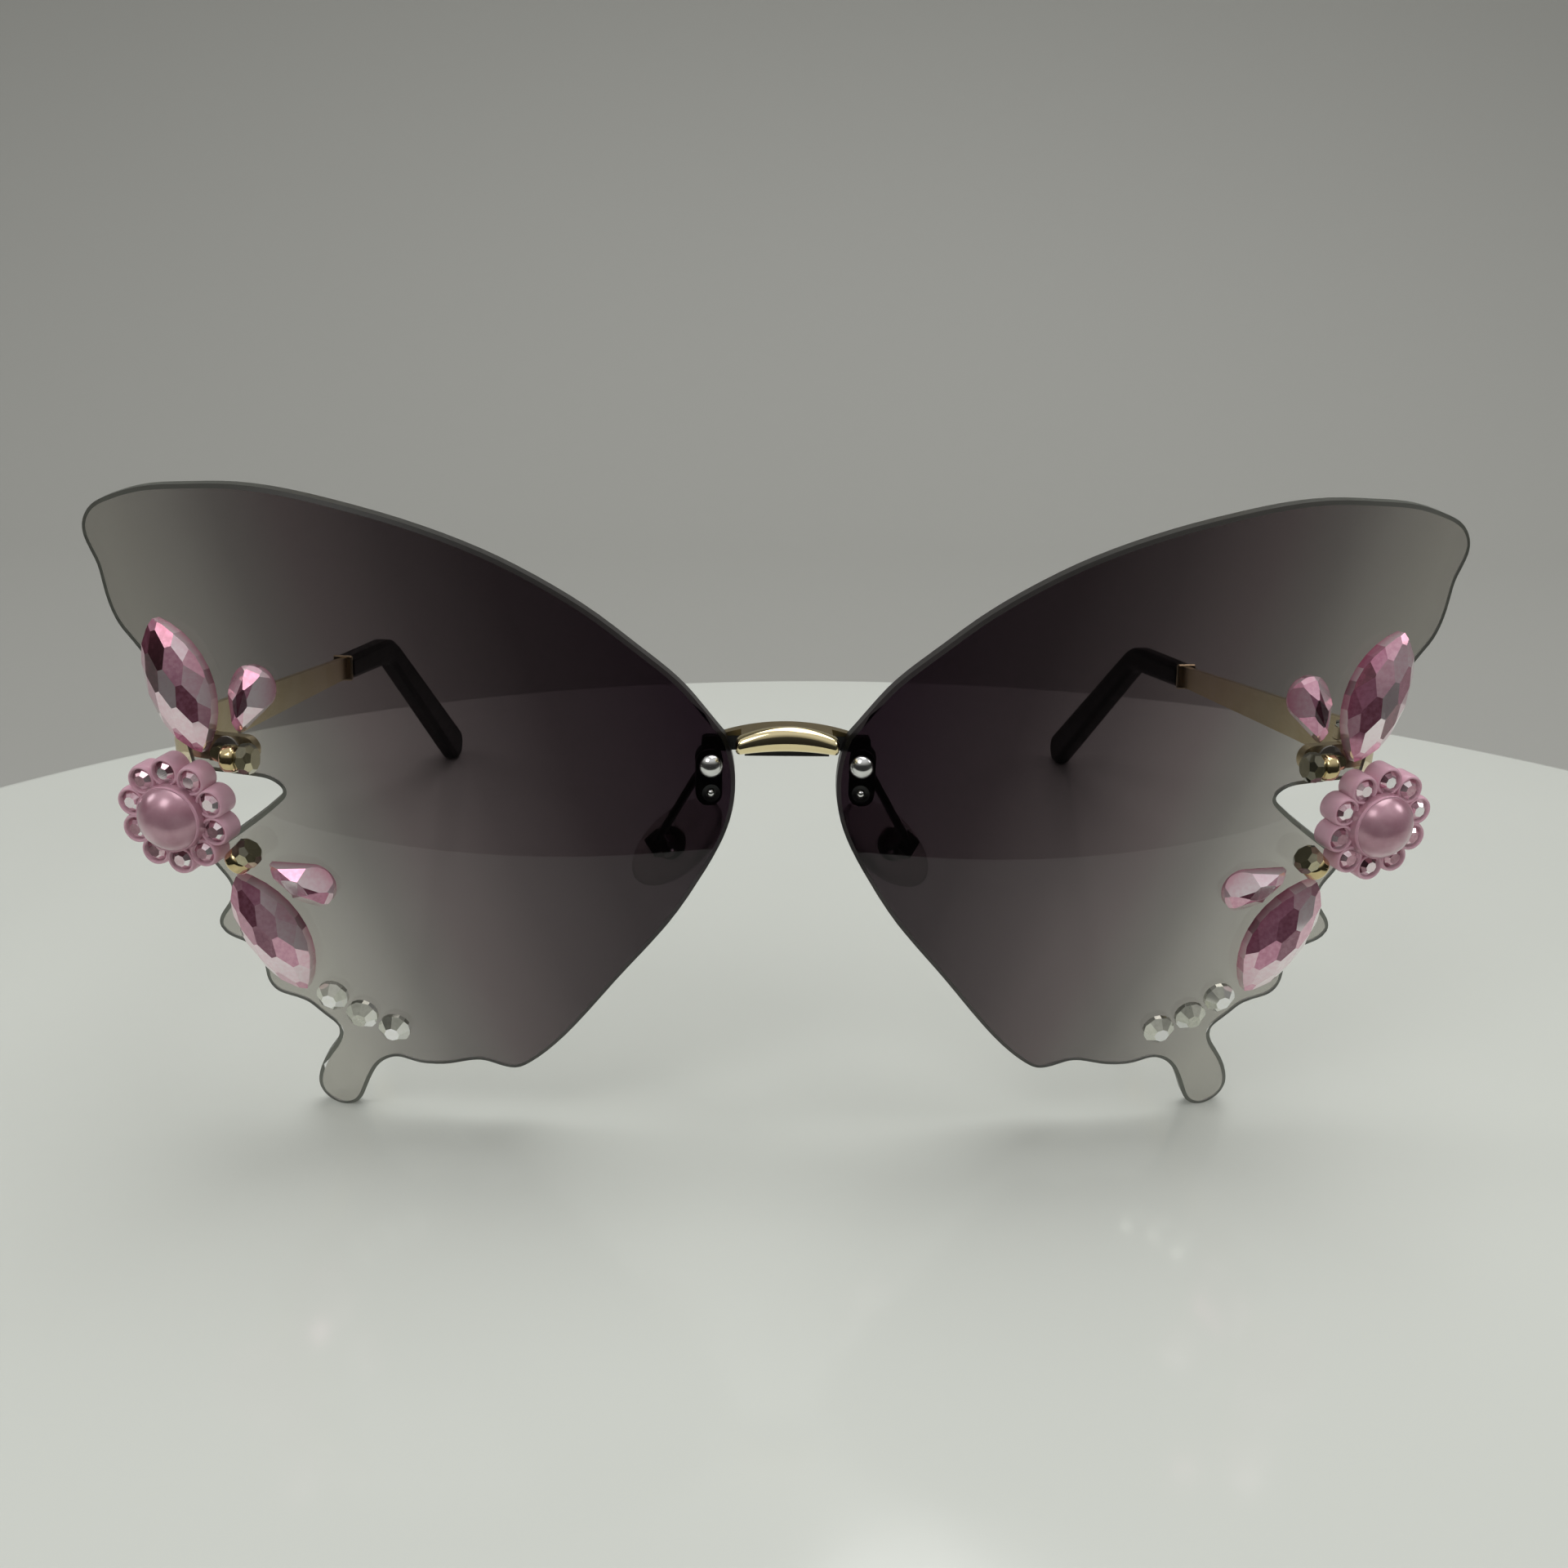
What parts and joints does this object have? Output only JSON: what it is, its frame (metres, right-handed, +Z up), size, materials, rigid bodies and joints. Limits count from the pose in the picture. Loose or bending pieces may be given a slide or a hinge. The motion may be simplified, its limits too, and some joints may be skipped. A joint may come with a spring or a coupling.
{
  "type": "sunglasses",
  "caption": "Rimless sunglasses with butterfly-wing gradient lenses, gold bridge and folding temples, rocking nose pads and pink flower and gem trim.",
  "frame": {"origin": "middle of the footprint box of the open sunglasses, on the surface that the two lens tails and the two temple tips stand on", "axes": "+X to the right as seen from the front and across the lenses, -Y the way the front faces, +Y back along the temples, +Z up"},
  "size_m": [0.16, 0.1442, 0.0789],
  "materials": {
    "lens": "polished tinted polycarbonate",
    "black_enamel": "gloss black enamel",
    "brown_gold": "satin brown-gold plate",
    "polished_gold": "polished pale gold plate",
    "polished_steel": "polished steel",
    "nylon": "milky nylon",
    "dark_wire": "dark maroon plated wire",
    "dark_mount": "dark maroon plated mount",
    "silicone": "clear soft silicone",
    "temple_gold": "satin gold plate",
    "collar_metal": "polished pale collar",
    "black_plastic": "smooth black acetate",
    "pink_acrylic": "translucent pink acrylic",
    "pink_pearl": "pearl lacquer",
    "foil_stone": "foil-backed pink stone",
    "pink_gem": "foil-backed pink gem",
    "bead_gold": "polished antique gold",
    "smoke_glass": "faceted smoke glass",
    "clear_gem": "foil-backed clear stone"
  },
  "bodies": {
    "front": {"bridge_core": "black_enamel", "bridge_top_rail": "brown_gold", "bridge_front_bar": "polished_gold", "bridge_screws": "polished_steel", "bridge_washers": "nylon", "bridge_nuts": "polished_steel", "bridge_pegs": "polished_steel", "pad_screws": "polished_steel", "end_piece_screws": "polished_gold", "end_piece_washers": "nylon", "end_piece_nuts": "polished_steel", "end_piece_pegs": "polished_steel", "hinge_screws": "polished_steel", "left_lens": "lens", "right_lens": "lens", "left_pad_arm": "dark_wire", "right_pad_arm": "dark_wire", "left_end_piece": "temple_gold", "right_end_piece": "temple_gold", "left_flower": "pink_acrylic", "right_flower": "pink_acrylic", "left_pearl": "pink_pearl", "right_pearl": "pink_pearl", "left_flower_stones": "foil_stone", "right_flower_stones": "foil_stone", "left_upper_marquise": "pink_gem", "right_upper_marquise": "pink_gem", "left_lower_marquise": "pink_gem", "right_lower_marquise": "pink_gem", "left_upper_teardrop": "pink_gem", "right_upper_teardrop": "pink_gem", "left_lower_teardrop": "pink_gem", "right_lower_teardrop": "pink_gem", "left_upper_bead_setting": "bead_gold", "right_upper_bead_setting": "bead_gold", "left_lower_bead_setting": "bead_gold", "right_lower_bead_setting": "bead_gold", "left_upper_bead_glass": "smoke_glass", "right_upper_bead_glass": "smoke_glass", "left_lower_bead_glass": "smoke_glass", "right_lower_bead_glass": "smoke_glass", "left_clear_stones": "clear_gem", "right_clear_stones": "clear_gem"},
    "left_temple": {"left_temple_arm": "temple_gold", "left_tip_collar": "collar_metal", "left_temple_tip": "black_plastic"},
    "right_temple": {"right_temple_arm": "temple_gold", "right_tip_collar": "collar_metal", "right_temple_tip": "black_plastic"},
    "left_pad": {"left_pad_mount": "dark_mount", "left_nose_pad": "silicone"},
    "right_pad": {"right_pad_mount": "dark_mount", "right_nose_pad": "silicone"}
  },
  "joints": [
    {"name": "left_temple_hinge", "type": "hinge", "parent": "front", "child": "left_temple", "pos_m": [-0.0706, -0.05136, 0.0464], "axis": [0, 0, -1], "range_deg": [0, 85]},
    {"name": "right_temple_hinge", "type": "hinge", "parent": "front", "child": "right_temple", "pos_m": [0.0706, -0.05136, 0.0464], "axis": [0, 0, 1], "range_deg": [0, 80]},
    {"name": "left_pad_rock", "type": "hinge", "parent": "front", "child": "left_pad", "pos_m": [-0.0144, -0.06073, 0.03629], "axis": [0.5302, -0.5847, -0.6141], "range_deg": [-8, 8]},
    {"name": "right_pad_rock", "type": "hinge", "parent": "front", "child": "right_pad", "pos_m": [0.0144, -0.06073, 0.03629], "axis": [-0.5302, -0.5847, -0.6141], "range_deg": [-8, 8]}
  ]
}
